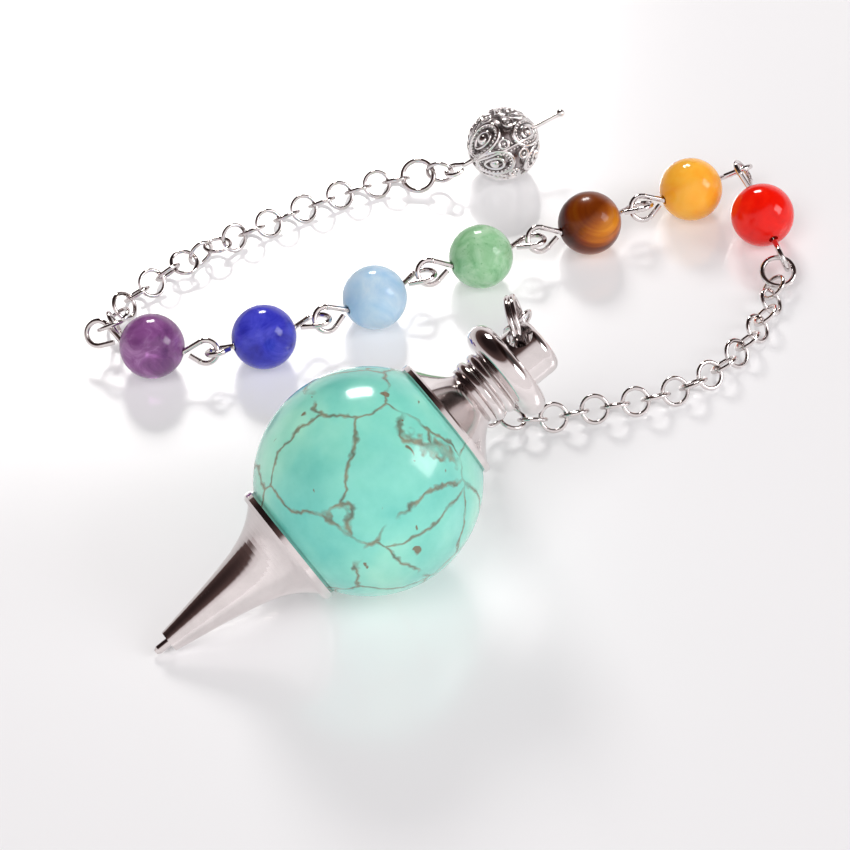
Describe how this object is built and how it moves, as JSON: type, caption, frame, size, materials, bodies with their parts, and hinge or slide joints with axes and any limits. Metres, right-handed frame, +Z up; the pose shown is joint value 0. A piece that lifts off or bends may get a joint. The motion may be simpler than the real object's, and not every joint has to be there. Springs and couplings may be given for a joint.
{
  "type": "dowsing pendulum",
  "caption": "Turned stone ball pendulum with a metal point and knob, on a cable chain with coloured stone beads and a filigree ball at the end.",
  "frame": {"origin": "point of the table top right under the stone ball's centre, where the ball touches the table", "axes": "+Z up from the table, +X to the right and +Y away as the piece is seen in use on the table; the pendulum's knob points towards +X and +Y"},
  "size_m": [0.0663, 0.0653, 0.0209],
  "materials": {
    "turquoise": "polished",
    "plated_metal": "polished",
    "wire_metal": "polished",
    "chain_metal": "polished",
    "filigree_metal": "polished",
    "red_bead": "polished",
    "orange_bead": "polished",
    "tiger_eye_bead": "polished",
    "green_bead": "polished",
    "light_blue_bead": "polished",
    "blue_bead": "polished",
    "amethyst_bead": "polished"
  },
  "bodies": {
    "pendulum": {"stone_ball": "turquoise", "point_cone": "plated_metal", "point_nib": "plated_metal", "top_cap": "plated_metal", "neck_washer": "plated_metal", "lower_collar": "plated_metal", "upper_collar": "plated_metal", "knob_disc": "plated_metal", "knob_end": "plated_metal", "core_stud": "plated_metal"},
    "split_ring": {"split_ring": "wire_metal"},
    "lower_chain_1": {"lower_chain_1": "chain_metal"},
    "lower_chain_2": {"lower_chain_2": "chain_metal"},
    "lower_chain_3": {"lower_chain_3": "chain_metal"},
    "lower_chain_4": {"lower_chain_4": "chain_metal"},
    "lower_chain_5": {"lower_chain_5": "chain_metal"},
    "lower_chain_6": {"lower_chain_6": "chain_metal"},
    "lower_chain_7": {"lower_chain_7": "chain_metal"},
    "lower_chain_8": {"lower_chain_8": "chain_metal"},
    "lower_chain_9": {"lower_chain_9": "chain_metal"},
    "lower_chain_10": {"lower_chain_10": "chain_metal"},
    "lower_chain_11": {"lower_chain_11": "chain_metal"},
    "lower_chain_12": {"lower_chain_12": "chain_metal"},
    "lower_chain_13": {"lower_chain_13": "chain_metal"},
    "lower_chain_14": {"lower_chain_14": "chain_metal"},
    "lower_jump_ring": {"lower_jump_ring": "wire_metal"},
    "red_pin": {"red_pin": "wire_metal"},
    "red_bead": {"red_bead": "red_bead"},
    "orange_pin": {"orange_pin": "wire_metal"},
    "orange_bead": {"orange_bead": "orange_bead"},
    "tiger_eye_pin": {"tiger_eye_pin": "wire_metal"},
    "tiger_eye_bead": {"tiger_eye_bead": "tiger_eye_bead"},
    "green_pin": {"green_pin": "wire_metal"},
    "green_bead": {"green_bead": "green_bead"},
    "light_blue_pin": {"light_blue_pin": "wire_metal"},
    "light_blue_bead": {"light_blue_bead": "light_blue_bead"},
    "blue_pin": {"blue_pin": "wire_metal"},
    "blue_bead": {"blue_bead": "blue_bead"},
    "amethyst_pin": {"amethyst_pin": "wire_metal"},
    "amethyst_bead": {"amethyst_bead": "amethyst_bead"},
    "upper_chain_1": {"upper_chain_1": "chain_metal"},
    "upper_chain_2": {"upper_chain_2": "chain_metal"},
    "upper_chain_3": {"upper_chain_3": "chain_metal"},
    "upper_chain_4": {"upper_chain_4": "chain_metal"},
    "upper_chain_5": {"upper_chain_5": "chain_metal"},
    "upper_chain_6": {"upper_chain_6": "chain_metal"},
    "upper_chain_7": {"upper_chain_7": "chain_metal"},
    "upper_chain_8": {"upper_chain_8": "chain_metal"},
    "upper_chain_9": {"upper_chain_9": "chain_metal"},
    "upper_chain_10": {"upper_chain_10": "chain_metal"},
    "upper_jump_ring": {"upper_jump_ring": "wire_metal"},
    "end_link": {"end_link": "chain_metal"},
    "filigree_pin": {"filigree_pin": "filigree_metal"},
    "filigree_ball": {"filigree_ball": "filigree_metal"}
  },
  "joints": [
    {"name": "split_ring_swing", "type": "hinge", "parent": "pendulum", "child": "split_ring", "pos_m": [0.01323, 0.0093, 0.01754], "axis": [0, 0, -1], "range_deg": [-4, 4]},
    {"name": "lower_chain_1_swing", "type": "hinge", "parent": "split_ring", "child": "lower_chain_1", "pos_m": [0.0133, 0.0122, 0.0176], "axis": [0, 0, -1], "range_deg": [-12, 12]},
    {"name": "lower_chain_2_swing", "type": "hinge", "parent": "lower_chain_1", "child": "lower_chain_2", "pos_m": [0.01287, 0.01315, 0.01387], "axis": [0, 0, 1], "range_deg": [-25, 25]},
    {"name": "lower_chain_3_swing", "type": "hinge", "parent": "lower_chain_2", "child": "lower_chain_3", "pos_m": [0.0119, 0.01385, 0.01018], "axis": [0, 0, 1], "range_deg": [-25, 25]},
    {"name": "lower_chain_4_swing", "type": "hinge", "parent": "lower_chain_3", "child": "lower_chain_4", "pos_m": [0.01074, 0.0141, 0.00649], "axis": [0, 0, -1], "range_deg": [-18, 18]},
    {"name": "lower_chain_5_swing", "type": "hinge", "parent": "lower_chain_4", "child": "lower_chain_5", "pos_m": [0.01054, 0.01505, 0.0029], "axis": [0, 0, -1], "range_deg": [-25, 25]},
    {"name": "lower_chain_6_swing", "type": "hinge", "parent": "lower_chain_5", "child": "lower_chain_6", "pos_m": [0.01362, 0.01588, 0.00108], "axis": [0, 0, 1], "range_deg": [-12, 12]},
    {"name": "lower_chain_7_swing", "type": "hinge", "parent": "lower_chain_6", "child": "lower_chain_7", "pos_m": [0.01744, 0.01641, 0.00108], "axis": [0, 0, 1], "range_deg": [-25, 25]},
    {"name": "lower_chain_8_swing", "type": "hinge", "parent": "lower_chain_7", "child": "lower_chain_8", "pos_m": [0.02117, 0.01748, 0.00108], "axis": [0, 0, -1], "range_deg": [-25, 25]},
    {"name": "lower_chain_9_swing", "type": "hinge", "parent": "lower_chain_8", "child": "lower_chain_9", "pos_m": [0.02493, 0.01845, 0.00108], "axis": [0, 0, -1], "range_deg": [-20, 20]},
    {"name": "lower_chain_10_swing", "type": "hinge", "parent": "lower_chain_9", "child": "lower_chain_10", "pos_m": [0.02851, 0.01992, 0.00108], "axis": [0, 0, 1], "range_deg": [-20, 20]},
    {"name": "lower_chain_11_swing", "type": "hinge", "parent": "lower_chain_10", "child": "lower_chain_11", "pos_m": [0.03164, 0.0222, 0.00108], "axis": [0, 0, 1], "range_deg": [-18, 18]},
    {"name": "lower_chain_12_swing", "type": "hinge", "parent": "lower_chain_11", "child": "lower_chain_12", "pos_m": [0.03412, 0.02518, 0.00108], "axis": [0, 0, -1], "range_deg": [-18, 18]},
    {"name": "lower_chain_13_swing", "type": "hinge", "parent": "lower_chain_12", "child": "lower_chain_13", "pos_m": [0.0361, 0.02851, 0.00108], "axis": [0, 0, -1], "range_deg": [-15, 15]},
    {"name": "lower_chain_14_swing", "type": "hinge", "parent": "lower_chain_13", "child": "lower_chain_14", "pos_m": [0.03738, 0.03216, 0.00108], "axis": [0, 0, 1], "range_deg": [-15, 15]},
    {"name": "lower_jump_ring_swing", "type": "hinge", "parent": "lower_chain_14", "child": "lower_jump_ring", "pos_m": [0.03755, 0.03409, 0.00108], "axis": [0, 0, 1], "range_deg": [-15, 15]},
    {"name": "red_pin_swing", "type": "hinge", "parent": "lower_jump_ring", "child": "red_pin", "pos_m": [0.03824, 0.0355, 0.00183], "axis": [0, 0, -1], "range_deg": [-10, 10]},
    {"name": "red_bead_spin", "type": "hinge", "parent": "red_pin", "child": "red_bead", "pos_m": [0.0368, 0.041, 0.003], "axis": [-0.3043, 0.9366, 0.1736], "continuous": true},
    {"name": "orange_pin_swing", "type": "hinge", "parent": "red_pin", "child": "orange_pin", "pos_m": [0.03505, 0.04648, 0.00355], "axis": [0, 0, -1], "range_deg": [-15, 15]},
    {"name": "orange_bead_spin", "type": "hinge", "parent": "orange_pin", "child": "orange_bead", "pos_m": [0.0302, 0.0446, 0.003], "axis": [0.8905, 0.4537, 0.0349], "continuous": true},
    {"name": "tiger_eye_pin_swing", "type": "hinge", "parent": "orange_pin", "child": "tiger_eye_pin", "pos_m": [0.02534, 0.04217, 0.00291], "axis": [0, 0, 1], "range_deg": [-8, 8]},
    {"name": "tiger_eye_bead_spin", "type": "hinge", "parent": "tiger_eye_pin", "child": "tiger_eye_bead", "pos_m": [0.0204, 0.0399, 0.003], "axis": [0.9063, 0.4226, 0], "continuous": true},
    {"name": "green_pin_swing", "type": "hinge", "parent": "tiger_eye_pin", "child": "green_pin", "pos_m": [0.01527, 0.03756, 0.003], "axis": [0, 0, 1], "range_deg": [-20, 20]},
    {"name": "green_bead_spin", "type": "hinge", "parent": "green_pin", "child": "green_bead", "pos_m": [0.0101, 0.0353, 0.003], "axis": [0.9135, 0.4067, 0], "continuous": true},
    {"name": "light_blue_pin_swing", "type": "hinge", "parent": "green_pin", "child": "light_blue_pin", "pos_m": [0.00495, 0.03292, 0.003], "axis": [0, 0, -1], "range_deg": [-18, 18]},
    {"name": "light_blue_bead_spin", "type": "hinge", "parent": "light_blue_pin", "child": "light_blue_bead", "pos_m": [0.0002, 0.0298, 0.003], "axis": [0.8387, 0.5446, 0], "continuous": true},
    {"name": "blue_pin_swing", "type": "hinge", "parent": "light_blue_pin", "child": "blue_pin", "pos_m": [-0.00465, 0.02683, 0.003], "axis": [0, 0, -1], "range_deg": [-10, 10]},
    {"name": "blue_bead_spin", "type": "hinge", "parent": "blue_pin", "child": "blue_bead", "pos_m": [-0.0099, 0.0246, 0.003], "axis": [0.9135, 0.4067, 0], "continuous": true},
    {"name": "amethyst_pin_swing", "type": "hinge", "parent": "blue_pin", "child": "amethyst_pin", "pos_m": [-0.01467, 0.02268, 0.003], "axis": [0, 0, 1], "range_deg": [-7, 7]},
    {"name": "amethyst_bead_spin", "type": "hinge", "parent": "amethyst_pin", "child": "amethyst_bead", "pos_m": [-0.0201, 0.0234, 0.003], "axis": [0.9703, -0.2419, 0], "continuous": true},
    {"name": "upper_chain_1_swing", "type": "hinge", "parent": "amethyst_pin", "child": "upper_chain_1", "pos_m": [-0.024, 0.025, 0.004], "axis": [0, 0, 1], "range_deg": [-7, 7]},
    {"name": "upper_chain_2_swing", "type": "hinge", "parent": "upper_chain_1", "child": "upper_chain_2", "pos_m": [-0.02374, 0.02787, 0.00141], "axis": [0, 0, -1], "range_deg": [-7, 7]},
    {"name": "upper_chain_3_swing", "type": "hinge", "parent": "upper_chain_2", "child": "upper_chain_3", "pos_m": [-0.02275, 0.03154, 0.00108], "axis": [0, 0, -1], "range_deg": [-9, 9]},
    {"name": "upper_chain_4_swing", "type": "hinge", "parent": "upper_chain_3", "child": "upper_chain_4", "pos_m": [-0.02, 0.03427, 0.00128], "axis": [0, 0, 1], "range_deg": [-9, 9]},
    {"name": "upper_chain_5_swing", "type": "hinge", "parent": "upper_chain_4", "child": "upper_chain_5", "pos_m": [-0.01705, 0.03678, 0.00146], "axis": [0, 0, 1], "range_deg": [-10, 10]},
    {"name": "upper_chain_6_swing", "type": "hinge", "parent": "upper_chain_5", "child": "upper_chain_6", "pos_m": [-0.01398, 0.03914, 0.00134], "axis": [0, 0, -1], "range_deg": [-12, 12]},
    {"name": "upper_chain_7_swing", "type": "hinge", "parent": "upper_chain_6", "child": "upper_chain_7", "pos_m": [-0.01081, 0.04136, 0.00108], "axis": [0, 0, -1], "range_deg": [-15, 15]},
    {"name": "upper_chain_8_swing", "type": "hinge", "parent": "upper_chain_7", "child": "upper_chain_8", "pos_m": [-0.00753, 0.04344, 0.00108], "axis": [0, 0, 1], "range_deg": [-18, 18]},
    {"name": "upper_chain_9_swing", "type": "hinge", "parent": "upper_chain_8", "child": "upper_chain_9", "pos_m": [-0.00417, 0.04537, 0.00108], "axis": [0, 0, 1], "range_deg": [-20, 20]},
    {"name": "upper_chain_10_swing", "type": "hinge", "parent": "upper_chain_9", "child": "upper_chain_10", "pos_m": [-0.00068, 0.04707, 0.00108], "axis": [0, 0, -1], "range_deg": [-25, 25]},
    {"name": "upper_jump_ring_swing", "type": "hinge", "parent": "upper_chain_10", "child": "upper_jump_ring", "pos_m": [0.00301, 0.04827, 0.00108], "axis": [0, 0, -1], "range_deg": [-10, 10]},
    {"name": "end_link_swing", "type": "hinge", "parent": "upper_jump_ring", "child": "end_link", "pos_m": [0.00536, 0.0481, 0.0018], "axis": [0, 0, 1], "range_deg": [-20, 20]},
    {"name": "filigree_pin_swing", "type": "hinge", "parent": "end_link", "child": "filigree_pin", "pos_m": [0.00697, 0.04799, 0.00223], "axis": [0, 0, 1], "range_deg": [-15, 15]},
    {"name": "filigree_ball_spin", "type": "hinge", "parent": "filigree_pin", "child": "filigree_ball", "pos_m": [0.0124, 0.0504, 0.0036], "axis": [0.8637, 0.4592, 0.2079], "continuous": true}
  ]
}
